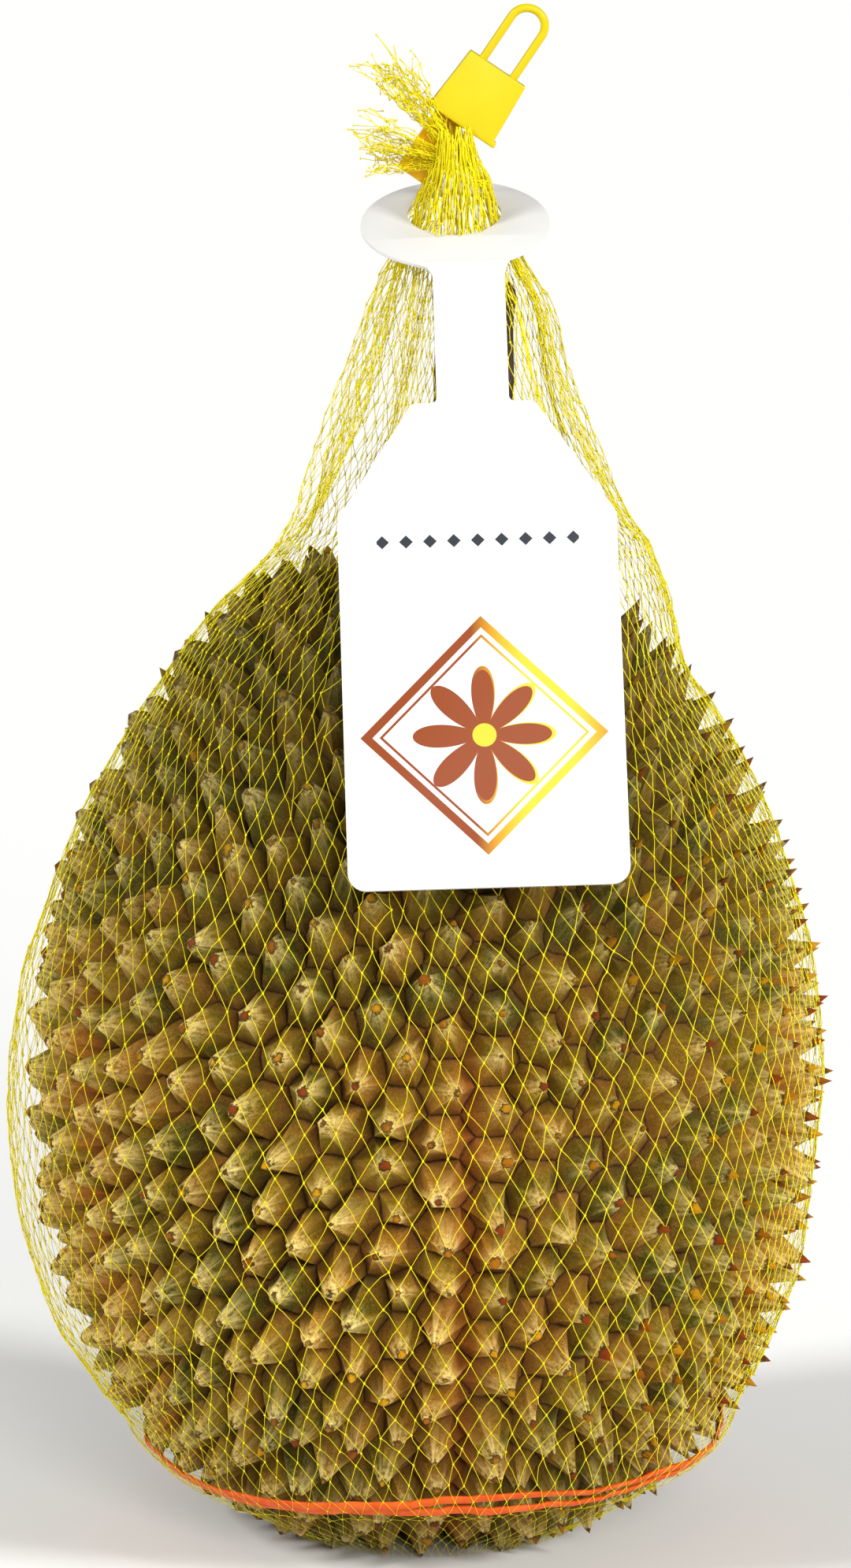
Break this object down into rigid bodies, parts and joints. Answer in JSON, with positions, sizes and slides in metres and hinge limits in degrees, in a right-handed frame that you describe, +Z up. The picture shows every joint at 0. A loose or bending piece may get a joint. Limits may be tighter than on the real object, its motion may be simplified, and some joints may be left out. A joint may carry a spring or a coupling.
{
  "type": "durian",
  "caption": "Whole spiny durian in a yellow net bag, gathered above its stalk and closed by a plastic clip, with a white swing tag and an orange rubber band.",
  "frame": {"origin": "Centre of the small flat spot that the fruit stands on.", "axes": "+X to the right of the tag as seen from the front, -Y to the front where the tag hangs, +Z up along the fruit to the clip."},
  "size_m": [0.1883, 0.188, 0.3454],
  "materials": {
    "husk": "rough olive-brown husk, velvety, with pale streaks up the spines and rust-brown tips",
    "stalk": "dark brown woody skin, matte",
    "band": "smooth orange rubber, slightly shiny",
    "net": "extruded yellow polyethylene net, slightly see-through",
    "tag": "smooth white plastic sheet with a printed ornament",
    "clip": "moulded yellow plastic, glossy"
  },
  "bodies": {
    "root": {"husk": "husk", "stalk": "stalk", "rubber_band": "band", "net_bag": "net", "net_neck": "net", "swing_tag": "tag", "clip_body": "clip", "clip_plate": "clip"}
  },
  "joints": []
}
